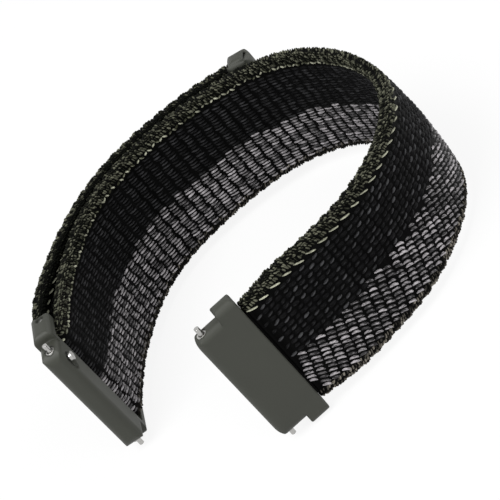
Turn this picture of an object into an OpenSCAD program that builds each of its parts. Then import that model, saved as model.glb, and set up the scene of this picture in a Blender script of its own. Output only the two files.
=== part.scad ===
// Nylon loop watch band for 22 mm lugs, closed and standing on its far edge.
// Plan view is XY, the strap's width runs along Z.

/* [Strap] */
// Width of the woven strap
strap_w = 21.4; // [20:0.1:21.6]
// Thickness of one layer of the strap
strap_t = 2.2; // [2:0.05:2.4]
// Depth of the face yarns on each side of the woven core
face_t = 0.3; // [0.2:0.05:0.4]
// Width of the bound edge on each side
edge_w = 1.6; // [1.2:0.1:2]
// Width of the accent yarn beside the near edge
accent_w = 0.8; // [0.5:0.1:1.2]
// Line between the black and the grey yarns, from the middle of the width towards the near edge
colour_line = -0.8; // [-3:0.1:3]
// Height of the accent yarn above the face
accent_proud = 0.1; // [0.05:0.05:0.2]
// Distance between the middles of the two layers where the strap is doubled
layer_pitch = 3.2; // [3.1:0.05:3.4]
// Length folded back over the outside, from the rod to the tab
foldback_len = 59.7; // [50:0.1:70]
// Length of the free end that peels open
peel_len = 25; // [22:1:30]
// Thickness of the strap squeezed round the slide rod
fold_t = 1.6; // [1.4:0.05:1.6]
// Thickness of the strap end clamped in the fixed adapter
clamp_t = 1.8; // [1.6:0.05:1.8]
// Length of strap end held inside the fixed adapter
clamp_len = 3.6; // [3:0.1:3.6]

/* [Shape of the loop] */
// Length of each of the eight bent stretches of the strap
stretch = 16.9; // [15:0.1:18]
// Bend of the stretch next to the fixed adapter, in degrees
turn_1 = 10; // [5:1:15]
// Bend of the second stretch
turn_2 = 37; // [32:1:42]
// Bend of the third stretch
turn_3 = 47; // [42:1:50]
// Bend of the fourth stretch
turn_4 = 25; // [20:1:30]
// Bend of the fifth stretch
turn_5 = 41; // [36:1:46]
// Bend of the sixth stretch
turn_6 = 24; // [20:1:28]
// Bend of the seventh stretch
turn_7 = 44; // [40:1:48]
// Bend of the stretch next to the slide adapter
turn_8 = 19; // [15:1:23]
// Straight run up to the slide rod
lead_len = 3.7; // [3:0.1:5]

/* [Hook patch and end tab] */
// Thickness of the hook patch
hook_t = 0.95; // [0.8:0.05:0.95]
// Length of the hook patch
hook_len = 18; // [14:1:20]
// Strip of strap left bare above and below the hook patch
hook_margin = 2.5; // [2:0.1:4]
// Length of the moulded end tab
tab_len = 4.5; // [4.4:0.1:6]
// Length of strap end inside the tab
tab_grip = 3.4; // [3:0.1:3.4]
// Wall of the tab over the outside of the strap
tab_wall_out = 0.8; // [0.7:0.05:1.2]
// Wall of the tab on the inside of the strap
tab_wall_in = 0.6; // [0.4:0.05:0.7]
// How far the tab stands past the strap's edges
tab_over = 0.4; // [0.3:0.1:1.1]
// Rounding of the tab's corners seen from outside the band
tab_corner_r = 2; // [1:0.1:2]
// Rounding of the tab's end seen along the strap's width
tab_end_r = 1.5; // [0.8:0.1:1.6]
// Rounding of the tab's long sides
tab_side_r = 1.3; // [0.5:0.1:1.4]

/* [Adapters] */
// Width of the part between the watch lugs
lug_w = 22; // [21.8:0.1:22.2]
// Width across the shoulders
shoulder_w = 25.2; // [25:0.1:26]
// Lug end to spring bar axis
lug_end = 1.6; // [1.5:0.05:1.8]
// Rounding of the lug end seen from the side
nose_r = 1.2; // [0.8:0.05:1.3]
// Rounding of the lug corners seen from the front
lug_corner_r = 2; // [1:0.1:2.2]
// Rounding of the shoulders
shoulder_r = 0.9; // [0.3:0.05:1]
// Rounding of the long edges where they meet the end faces
end_r = 1.2; // [0.3:0.05:1.2]
// Spring bar axis to the wrist face
wrist_side = 1.5; // [1.4:0.05:1.6]
// Spring bar axis to the outside face of the fixed adapter
fixed_out = 1.4; // [1.35:0.05:1.5]
// Spring bar axis to the strap side of the fixed adapter
fixed_depth = 6.35; // [6.2:0.05:6.6]
// Spring bar axis to the shoulders of the fixed adapter
fixed_shoulder = 3; // [2.6:0.1:3.4]
// Diameter of the pin that holds the clamped strap end
clamp_pin_d = 0.9; // [0.8:0.05:1]
// Spring bar axis to the outside face of the slide adapter
slide_out = 1.9; // [1.7:0.05:2]
// Spring bar axis to the strap side of the slide adapter
slide_depth = 7.2; // [7:0.05:7.4]
// Spring bar axis to the shoulders of the slide adapter
slide_shoulder = 2; // [1.8:0.1:2.2]
// Spring bar axis to the far wall of the strap slot
slot_start = 2.9; // [2.8:0.05:3]
// Spring bar axis to the slide rod
rod_from_bar = 6; // [5.9:0.05:6.1]
// Diameter of the slide rod
rod_d = 1.4; // [1.2:0.05:1.4]
// Depth of the rod ends below the shoulder faces
rod_sunk = 0.4; // [0.1:0.05:0.5]
// Direction of the slide adapter, in degrees from +X
slide_angle = 75.5; // [70:0.5:80]

/* [Quick release spring bars] */
// Outside diameter of the barrel
barrel_d = 1.6; // [1.5:0.05:1.6]
// Wall of the barrel
barrel_wall = 0.15; // [0.12:0.01:0.18]
// Depth of the barrel ends below the lug faces
barrel_sunk = 0.2; // [0.1:0.05:0.3]
// Diameter of the two tips
tip_d = 0.8; // [0.7:0.05:0.8]
// How far the tips stand past the lug faces
tip_proud = 1.1; // [0.9:0.05:1.2]
// Diameter of the tips at their root
tip_root_d = 1; // [0.9:0.05:1]
// Lug face to the straight part of the tips
tip_straight = 0.15; // [0.1:0.05:0.3]
// Travel of the release lever
release_travel = 1.3; // [1.1:0.1:1.4]
// Lug face to the lever when it is at rest
lever_from_lug = 3; // [2.9:0.1:3.4]
// Diameter of the lever stem
lever_stem_d = 0.6; // [0.5:0.05:0.7]
// Diameter of the lever head
lever_head_d = 1.5; // [1.3:0.1:1.6]
// Height of the lever head
lever_head_h = 0.45; // [0.3:0.05:0.6]
// Play round the sliding pieces
running_play = 0.04; // [0.02:0.01:0.06]
// Wire diameter of the release spring
wire_d = 0.16; // [0.12:0.01:0.2]
// Turns of the release spring
spring_turns = 9; // [6:1:12]
// Length of the release spring at rest
spring_len = 7; // [6:0.5:8]

/* [Hidden] */
$fn = 48;
eps = 0.01;
turns = [turn_1, turn_2, turn_3, turn_4, turn_5, turn_6, turn_7, turn_8];
half_w = strap_w / 2;
half_shoulder = shoulder_w / 2;
half_lug = lug_w / 2;
core_play = 0.1;

// Loop seen from above: arcs joined end to end, counter-clockwise, wrist side on the left.
start_y = 0;
function arc_end(p, h, t, l) = let (r = l / (t * PI / 180)) p + r * [sin(h + t) - sin(h), cos(h) - cos(h + t)];
function joint_at(i) = i == 0 ? [[0, start_y], 0]
    : let (q = joint_at(i - 1)) [arc_end(q[0], q[1], turns[i - 1], stretch), q[1] + turns[i - 1]];
joints = [for (i = [0:8]) joint_at(i)];
bent_len = 8 * stretch;
loop_len = bent_len + lead_len;
function arc_no(s) = max(0, min(7, floor(s / stretch)));
function heading(s) = s <= 0 ? 0 : s >= bent_len ? joints[8][1]
    : let (i = arc_no(s)) joints[i][1] + turns[i] * (s / stretch - i);
function middle(s) = s <= 0 ? joints[0][0] + [s, 0]
    : s >= bent_len ? joints[8][0] + (s - bent_len) * [cos(joints[8][1]), sin(joints[8][1])]
    : let (i = arc_no(s), l = s - i * stretch) l < eps ? joints[i][0]
    : arc_end(joints[i][0], joints[i][1], turns[i] * l / stretch, l);
function beside(s, o) = middle(s) + o * [-sin(heading(s)), cos(heading(s))];

// The same strap followed round the slide rod and back over the outside.
rod_at = beside(loop_len, -layer_pitch / 2);
fold_len = PI * layer_pitch / 2;
back_start = loop_len + fold_len;
strap_end = back_start + foldback_len;
peel_at = strap_end - peel_len;
function in_strap(q, e) = q <= loop_len ? beside(q, e)
    : q < back_start ? let (a = heading(loop_len) + 90 - (q - loop_len) / fold_len * 180)
        rod_at + (layer_pitch / 2 + e) * [cos(a), sin(a)]
    : beside(loop_len - (q - back_start), -layer_pitch - e);
function ease(x, a, b) = let (t = max(0, min(1, (x - a) / (b - a)))) t * t * (3 - 2 * t);
squeeze = 6;
function thick(q) = strap_t - (strap_t - clamp_t) * (1 - ease(q, 0, clamp_len))
    - (strap_t - fold_t) * ease(q, loop_len - squeeze, loop_len) * (1 - ease(q, back_start, back_start + squeeze));
tab_from = strap_end - tab_grip;
cut = 0.1;
free_from = peel_at + cut;
hook_to = tab_from - 0.6;
hook_from = hook_to - hook_len;
marks = [hook_from, hook_to, tab_from];
function far_from_marks(q) = min([for (m = marks) abs(m - q)]) > 0.4;
even = concat([for (i = [0:1:(loop_len - squeeze - 0.5) / 2.1]) i * 2.1], [for (i = [0:5]) loop_len - squeeze * (1 - i / 6)],
    [for (i = [0:12]) loop_len + fold_len * i / 12], [for (i = [1:6]) back_start + i],
    [for (i = [1:1:(foldback_len - squeeze) / 2.1]) back_start + squeeze + i * 2.1]);
function between(a, b) = [for (q = even) if (q > a && q <= b && far_from_marks(q)) q];
stations = concat(between(-1, hook_from), [hook_from], between(hook_from, hook_to), [hook_to], between(hook_to, tab_from), [tab_from], between(tab_from, strap_end));
function run(a, b) = concat([a], [for (q = stations) if (q > a + 0.3 && q < b - 0.3) q], [b]);

// The box round the whole part, so that it can be centred.
bar_slide = rod_at - rod_from_bar * [cos(slide_angle), sin(slide_angle)];
bar_fixed = [-fixed_depth, start_y];
function slide_pt(u, v) = bar_slide + u * [cos(slide_angle), sin(slide_angle)] + v * [sin(slide_angle), -cos(slide_angle)];
edge_pts = concat([for (q = run(0, peel_at)) for (side = [-1, 1]) in_strap(q, side * (thick(q) / 2 + accent_proud))],
    [for (q = run(free_from, tab_from)) in_strap(q, thick(q) / 2 + accent_proud)],
    [for (q = [tab_from, tab_from + tab_len]) in_strap(q, strap_t / 2 + tab_wall_out)],
    [[-fixed_depth - lug_end, start_y], [0, start_y - fixed_out]],
    [slide_pt(shoulder_r, -slide_out), slide_pt(-lug_end, 0)]);
box_min = [min([for (p = edge_pts) p[0]]), min([for (p = edge_pts) p[1]])];
box_max = [max([for (p = edge_pts) p[0]]), max([for (p = edge_pts) p[1]])];
centre = (box_min + box_max) / 2;
mid_z = half_shoulder;
echo(box_min = box_min - centre, box_max = box_max - centre, rod = rod_at - centre, bar_slide = bar_slide - centre,
    bar_fixed = bar_fixed - centre, mid_z = mid_z, end_heading = heading(loop_len), strap_len = strap_end + clamp_len,
    peel = in_strap(peel_at, thick(peel_at) / 2) - centre, tab = in_strap(tab_from, 0) - centre, start = joints[0][0] - centre);

module placed() { translate([-centre[0], -centre[1], mid_z]) children(); }
module at_fixed() { placed() translate([bar_fixed[0], bar_fixed[1], 0]) children(); }
module at_slide() { placed() translate([bar_slide[0], bar_slide[1], 0]) rotate(slide_angle) mirror([0, 1, 0]) children(); }

// A strip of the strap between two depths, e1 and e2, each a share of the thickness plus a distance.
function depth(q, e) = e[0] * thick(q) / 2 + e[1];
module strip(a, b, e1, e2, z1, z2) {
    qs = run(a, b);
    translate([0, 0, z1]) linear_extrude(z2 - z1)
        polygon(concat([for (q = qs) in_strap(q, depth(q, e1))], [for (i = [len(qs) - 1:-1:0]) in_strap(qs[i], depth(qs[i], e2))]));
}
// A bound edge with a rounded rim, side is 1 for the upper edge and -1 for the far edge.
module bound_edge(a, b, side) {
    qs = run(a, b);
    rim = [[-1, 0], [-1, 0.45], [-0.82, 0.75], [-0.45, 0.95], [0, 1], [0.45, 0.95], [0.82, 0.75], [1, 0.45], [1, 0]];
    n = len(rim);
    pts = [for (q = qs) for (r = rim) let (p = in_strap(q, r[0] * thick(q) / 2)) [p[0], p[1], side * (half_w - edge_w + r[1] * edge_w)]];
    caps = [[for (j = [0:n - 1]) j], [for (j = [n - 1:-1:0]) (len(qs) - 1) * n + j]];
    sides = [for (i = [0:len(qs) - 2]) for (j = [0:n - 1]) let (k = (j + 1) % n) for (t = [[i * n + j, (i + 1) * n + j, (i + 1) * n + k], [i * n + j, (i + 1) * n + k, i * n + k]]) t];
    faces = concat(caps, sides);
    polyhedron(pts, side > 0 ? faces : [for (f = faces) [for (i = [len(f) - 1:-1:0]) f[i]]], convexity = 8);
}
module rounded(x1, x2, y1, y2, r) {
    translate([x1 + r, y1]) square([x2 - x1 - 2 * r, y2 - y1]);
    translate([x1, y1 + r]) square([x2 - x1, y2 - y1 - 2 * r]);
    for (x = [x1 + r, x2 - r], y = [y1 + r, y2 - r]) translate([x, y]) circle(r);
}

// Woven strap
core_top = half_w - edge_w;
black_top = core_top - accent_w;
module core(a, b) { strip(a, b, [-1, face_t], [1, -face_t], -core_top, core_top); }
module face(a, b, side, z1, z2, proud = 0) { strip(a, b, [side, side * proud], [side, -side * face_t], z1, z2); }
module strap_core() color("#2b2b2b") placed() difference() {
    union() {
        core(0, peel_at);
        strip(-clamp_len, 0, [-1, 0], [1, 0], -core_top, core_top);
    }
    translate([-clamp_len / 2, start_y, -half_w]) cylinder(d = clamp_pin_d, h = strap_w);
}
module strap_black_wrist() color("#17181a") placed() face(0, peel_at, 1, colour_line, black_top);
module strap_grey_wrist() color("#5b5759") placed() face(0, peel_at, 1, -core_top, colour_line);
module strap_black_outside() color("#17181a") placed() face(0, peel_at, -1, colour_line, black_top);
module strap_grey_outside() color("#5b5759") placed() face(0, peel_at, -1, -core_top, colour_line);
module strap_green_edge() color("#3a3d2a") placed() bound_edge(0, peel_at, 1);
module strap_far_edge() color("#4a463c") placed() bound_edge(0, peel_at, -1);
module strap_accent_yarn() color("#9ba17a") placed() for (side = [-1, 1]) face(0, peel_at, side, black_top, core_top, accent_proud);

// Free end of the strap with its hook patch and tab
module free_core() color("#2b2b2b") placed() core(free_from, strap_end);
module free_black_faces() color("#17181a") placed() for (side = [-1, 1]) face(free_from, strap_end, side, colour_line, black_top);
module free_grey_faces() color("#5b5759") placed() for (side = [-1, 1]) face(free_from, strap_end, side, -core_top, colour_line);
module free_green_edge() color("#3a3d2a") placed() bound_edge(free_from, strap_end, 1);
module free_far_edge() color("#4a463c") placed() bound_edge(free_from, strap_end, -1);
module free_accent_yarn() color("#9ba17a") placed() for (side = [-1, 1]) face(free_from, tab_from, side, black_top, core_top, accent_proud);
module hook_patch() color("#1d1e1c") placed()
    strip(hook_from, hook_to, [-1, -hook_t], [-1, 0], -half_w + hook_margin, half_w - hook_margin);
module end_tab() color("#494a43") placed() difference() {
    tab_mid = in_strap(tab_from, 0);
    tab_dir = heading(loop_len - (tab_from - back_start)) + 180;
    tab_z = half_w + tab_over;
    top = strap_t / 2 + tab_wall_out;
    low = -strap_t / 2 - tab_wall_in;
    translate([tab_mid[0], tab_mid[1], 0]) rotate(tab_dir) intersection() {
        translate([0, 0, -tab_z]) linear_extrude(2 * tab_z) rounded(0, tab_len, low, top, tab_end_r);
        rotate([90, 0, 0]) translate([0, 0, low - 1]) linear_extrude(top - low + 2) rounded(0, tab_len, -tab_z, tab_z, tab_corner_r);
        rotate([0, 90, 0]) linear_extrude(tab_len) rounded(-tab_z, tab_z, low, top, tab_side_r);
    }
    strip(free_from, strap_end, [-1, 0], [1, 0], -half_w, half_w);
}

// Adapters
side_reach = wrist_side + slide_out + 1;
module adapter_bar(u1, u2, half, r, depth_u, out_v) intersection() {
    translate([0, 0, -half]) linear_extrude(2 * half) union() {
        rounded(-lug_end, depth_u - 1, -out_v, wrist_side, nose_r);
        rounded(1, depth_u, -out_v, wrist_side, 0.45);
    }
    rotate([90, 0, 0]) translate([0, 0, -side_reach]) linear_extrude(2 * side_reach) rounded(u1, u2, -half, half, r);
    translate([u1, 0, 0]) rotate([90, 0, 90]) linear_extrude(u2 - u1) rounded(-out_v, wrist_side, -half, half, end_r);
}
module adapter_block(depth_u, shoulder_u, out_v) {
    adapter_bar(-lug_end, depth_u - 0.5, half_lug, lug_corner_r, depth_u, out_v);
    adapter_bar(shoulder_u, depth_u, half_shoulder, shoulder_r, depth_u, out_v);
}
lever_z = half_lug - lever_from_lug;
slot_w = lever_stem_d + 2 * running_play + 0.1;
module lever_slot(w, reach) {
    for (z = [lever_z, lever_z - release_travel]) translate([0, 0, z]) rotate([-90, 0, 0]) cylinder(d = w, h = reach);
    translate([-w / 2, 0, lever_z - release_travel]) cube([w, reach, release_travel]);
}
module bar_bore() {
    translate([0, 0, -half_lug - 1]) cylinder(d = barrel_d, h = lug_w + 2);
    lever_slot(slot_w + 0.1, wrist_side + 1);
    translate([0, wrist_side - 0.3, 0]) lever_slot(lever_head_d + 0.5, 2);
}
module fixed_frame() color("#484a43") at_fixed() difference() {
    adapter_block(fixed_depth, fixed_shoulder, fixed_out);
    bar_bore();
    translate([fixed_depth - clamp_len, -clamp_t / 2, -core_top]) cube([clamp_len + 1, clamp_t, 2 * core_top]);
    translate([fixed_depth - clamp_len / 2, 0, -half_lug]) cylinder(d = clamp_pin_d, h = lug_w);
}
module clamp_pin() color("#9a9a98") at_fixed() translate([fixed_depth - clamp_len / 2, 0, -half_lug]) cylinder(d = clamp_pin_d, h = lug_w);
module slide_frame() color("#484a43") at_slide() difference() {
    adapter_block(slide_depth, slide_shoulder, slide_out);
    bar_bore();
    translate([slot_start, -side_reach, -half_w - core_play]) cube([slide_depth, 2 * side_reach, strap_w + 2 * core_play]);
    translate([rod_from_bar, 0, -half_shoulder - 1]) cylinder(d = rod_d, h = shoulder_w + 2);
}
module slide_rod() color("#9a9a98") at_slide() translate([rod_from_bar, 0, -half_shoulder + rod_sunk]) cylinder(d = rod_d, h = shoulder_w - 2 * rod_sunk);

// Quick release spring bar, the lever end is the upper one
barrel_half = half_lug - barrel_sunk;
barrel_in = barrel_d - 2 * barrel_wall;
end_wall = 0.6;
piston_d = barrel_in - 2 * running_play;
piston_top = barrel_half - end_wall - running_play;
piston_low = lever_z - 0.9;
tip_end = half_lug + tip_proud;
shank_top = piston_low - spring_len;
module bar_barrel() color("#a9aaa8") difference() {
    translate([0, 0, -barrel_half]) cylinder(d = barrel_d, h = 2 * barrel_half);
    translate([0, 0, -barrel_half - 1]) cylinder(d = barrel_in, h = 2 * barrel_half + 1 - end_wall);
    cylinder(d = tip_root_d + 2 * running_play, h = half_lug);
    lever_slot(slot_w, barrel_d);
}
// A tip that tapers from its root to its straight part, pointing up
module tapered_tip(root) {
    straight_from = half_lug + tip_straight;
    translate([0, 0, root]) cylinder(d1 = tip_root_d, d2 = tip_d, h = straight_from - root);
    translate([0, 0, straight_from]) cylinder(d = tip_d, h = tip_end - straight_from);
}
module bar_fixed_tip() color("#b9bab8") {
    translate([0, 0, -barrel_half]) cylinder(d = barrel_in, h = shank_top + barrel_half);
    mirror([0, 0, 1]) tapered_tip(barrel_half);
}
module bar_sliding_tip() color("#b9bab8") difference() {
    union() {
        translate([0, 0, piston_low]) cylinder(d = piston_d, h = piston_top - piston_low);
        tapered_tip(piston_top);
    }
    translate([0, 0, lever_z]) rotate([-90, 0, 0]) cylinder(d = lever_stem_d, h = 2);
}
module bar_lever() color("#c2c3c1") translate([0, 0, lever_z]) rotate([-90, 0, 0]) {
    cylinder(d = lever_stem_d, h = wrist_side + 0.4);
    translate([0, 0, wrist_side + 0.15]) cylinder(d = lever_head_d, h = lever_head_h);
}
module bar_spring() color("#8d8e8c") {
    r = (piston_d - wire_d) / 2 - 0.02;
    rings = spring_turns * 8;
    z1 = shank_top + wire_d / 2;
    z2 = piston_low - wire_d / 2;
    pts = [for (i = [0:rings]) let (a = i * 45, z = z1 + (z2 - z1) * i / rings) for (j = [0:5]) let (b = j * 60, w = wire_d / 2)
        [(r + w * cos(b)) * cos(a), (r + w * cos(b)) * sin(a), z + w * sin(b)]];
    faces = concat([[5, 4, 3, 2, 1, 0], [for (j = [0:5]) rings * 6 + j]],
        [for (i = [0:rings - 1]) for (j = [0:5]) let (k = (j + 1) % 6) for (t = [[i * 6 + j, i * 6 + k, (i + 1) * 6 + k], [i * 6 + j, (i + 1) * 6 + k, (i + 1) * 6 + j]]) t]);
    polyhedron(pts, faces, convexity = 10);
}
module fixed_bar_barrel() at_fixed() bar_barrel();
module fixed_bar_fixed_tip() at_fixed() bar_fixed_tip();
module fixed_bar_spring() at_fixed() bar_spring();
module fixed_bar_sliding_tip() at_fixed() bar_sliding_tip();
module fixed_bar_lever() at_fixed() bar_lever();
module slide_bar_barrel() at_slide() bar_barrel();
module slide_bar_fixed_tip() at_slide() bar_fixed_tip();
module slide_bar_spring() at_slide() bar_spring();
module slide_bar_sliding_tip() at_slide() bar_sliding_tip();
module slide_bar_lever() at_slide() bar_lever();

strap_core();
strap_black_wrist();
strap_grey_wrist();
strap_black_outside();
strap_grey_outside();
strap_green_edge();
strap_far_edge();
strap_accent_yarn();
free_core();
free_black_faces();
free_grey_faces();
free_green_edge();
free_far_edge();
free_accent_yarn();
hook_patch();
end_tab();
fixed_frame();
clamp_pin();
fixed_bar_barrel();
fixed_bar_fixed_tip();
fixed_bar_spring();
fixed_bar_sliding_tip();
fixed_bar_lever();
slide_frame();
slide_rod();
slide_bar_barrel();
slide_bar_fixed_tip();
slide_bar_spring();
slide_bar_sliding_tip();
slide_bar_lever();
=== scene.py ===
"""Woven nylon loop watch band with two quick release adapters, closed and standing on its far edge."""

import logging
import math
from dataclasses import dataclass, field
from enum import Enum

import bpy
import numpy as np
from mathutils import Matrix, Vector

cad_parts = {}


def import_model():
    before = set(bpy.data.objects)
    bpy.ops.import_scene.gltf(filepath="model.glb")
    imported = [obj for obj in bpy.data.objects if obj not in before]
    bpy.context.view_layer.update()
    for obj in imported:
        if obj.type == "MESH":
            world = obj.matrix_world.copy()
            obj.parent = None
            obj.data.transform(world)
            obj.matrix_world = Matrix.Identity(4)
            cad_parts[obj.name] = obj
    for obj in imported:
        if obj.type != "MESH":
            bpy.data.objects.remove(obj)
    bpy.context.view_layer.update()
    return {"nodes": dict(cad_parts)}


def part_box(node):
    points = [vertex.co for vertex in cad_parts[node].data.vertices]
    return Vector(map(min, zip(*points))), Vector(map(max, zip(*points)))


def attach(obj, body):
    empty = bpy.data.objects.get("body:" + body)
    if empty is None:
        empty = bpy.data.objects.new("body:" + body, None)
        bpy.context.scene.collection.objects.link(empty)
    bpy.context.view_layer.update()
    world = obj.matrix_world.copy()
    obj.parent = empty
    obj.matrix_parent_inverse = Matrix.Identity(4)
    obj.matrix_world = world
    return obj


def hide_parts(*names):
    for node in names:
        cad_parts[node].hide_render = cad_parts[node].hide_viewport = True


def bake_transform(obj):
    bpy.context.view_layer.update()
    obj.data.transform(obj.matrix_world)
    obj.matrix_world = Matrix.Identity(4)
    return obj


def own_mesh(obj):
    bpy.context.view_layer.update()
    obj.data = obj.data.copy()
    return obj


MM = 0.001
Span = tuple[float, float]
Triple = tuple[float, float, float]
Socket = bpy.types.NodeSocket
log = logging.getLogger("watch_band")


class Side(Enum):
    """The two broad faces of the strap, with the sign of their depth from the strap's middle."""

    WRIST = 1
    OUTSIDE = -1


class Edge(Enum):
    """The two bound edges of the strap, with the sign of their height above its middle."""

    UPPER = 1
    FAR = -1


class Layer(Enum):
    """The two stretches of the strap, with the word that ends the names of their pieces."""

    LOOP = "loop"
    FOLDBACK = "foldback"


class Stray(Enum):
    """The ways in which the strap strays from a flat even ribbon, with their column in the drape."""

    UPPER_SWELL = 1
    FAR_SWELL = 2
    CROWN = 3
    LIFT = 4


@dataclass(frozen=True)
class StrapSizes:
    """The strap's driving sizes, in millimetres and degrees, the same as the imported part's.

    Each row of the drape holds a distance along the strap and the four strays there.
    """

    width: float = 21.4
    thickness: float = 2.2
    edge: float = 1.6
    accent: float = 0.8
    layer_pitch: float = 3.2
    foldback: float = 59.7
    peel: float = 25.0
    fold_thickness: float = 1.6
    clamp_thickness: float = 1.8
    clamp: float = 3.6
    squeeze: float = 6.0
    stretch: float = 16.9
    turns: tuple[float, ...] = (10, 37, 47, 25, 41, 24, 44, 19)
    lead: float = 3.7
    tab_grip: float = 3.4
    hook: float = 18.0
    hook_thickness: float = 0.95
    hook_margin: float = 2.5
    hook_to_tab: float = 0.6
    drape_ease: float = 3.0
    drape: tuple[tuple[float, ...], ...] = (
        (-4, 0, 0, 0, 0), (2, 0, 0, 0, 0), (6, 0.9, 0.9, 0, 0), (11, 0.4, 0.85, 0, 0),
        (20, 0, 0.7, 0, 0), (32, -0.1, 0.4, 0, 0), (48, 0.1, 0.4, 1.1, 0), (58, 0.5, 0.3, 1.6, 0),
        (68, 0.45, -0.4, 0.3, 0), (85, 0, -0.35, 0, 0), (100, 0, 0.3, 0, 0), (115, 0, 0.5, 0, 0),
        (124, 0, 0.3, 0, 0), (132, 0, 0, 0, 0), (145, 0, 0, 0, 0.2), (151, 0, 0, 0, 1.2),
        (158, -0.2, 0, 0, 0.7), (168, -0.3, 0, 0, 0), (204, -0.3, 0, 0, 0),
    )

    def settled(self, q: np.ndarray, stray: Stray) -> np.ndarray:
        """One way in which the strap strays from a flat even ribbon.

        Args:
            q: Distances along the strap.
            stray: Which way.

        Returns:
            The stray in millimetres, eased between the rows of the drape.
        """
        rows = np.array(self.drape, float)
        steps = np.linspace(-self.drape_ease, self.drape_ease, 7)
        return np.mean([np.interp(q + step, rows[:, 0], rows[:, stray.value]) for step in steps], axis=0)

    @property
    def half(self) -> float:
        """Half the strap's width."""
        return self.width / 2

    @property
    def edge_from(self) -> float:
        """Distance from the strap's middle to the bound edges."""
        return self.half - self.edge

    @property
    def accent_from(self) -> float:
        """Distance from the strap's middle to the accent yarn."""
        return self.edge_from - self.accent


def smooth(x: np.ndarray, start: float, end: float) -> np.ndarray:
    """Rises from 0 to 1 between two values with level ends.

    Args:
        x: Values to look at.
        start: Where the rise begins.
        end: Where the rise ends.

    Returns:
        The risen share at each value.
    """
    t = np.clip((np.asarray(x, float) - start) / (end - start), 0, 1)
    return t * t * (3 - 2 * t)


def sleeve(rings: int, corners: int) -> np.ndarray:
    """Faces of an open sleeve.

    Args:
        rings: Number of rings along it.
        corners: Points in each ring.

    Returns:
        Rows of four indices.
    """
    i, j = np.meshgrid(np.arange(rings - 1), np.arange(corners), indexing="ij")
    a, b = (i * corners + j).ravel(), (i * corners + (j + 1) % corners).ravel()
    return np.c_[a, b, b + corners, a + corners]


def bar(rings: int) -> np.ndarray:
    """Faces of a closed bar with four corners.

    Args:
        rings: Number of rings along it.

    Returns:
        Rows of four indices, its far end in the last row but one and its near end in the last.
    """
    top = (rings - 1) * 4
    return np.concatenate([sleeve(rings, 4), [[top, top + 1, top + 2, top + 3], [3, 2, 1, 0]]])


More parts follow.
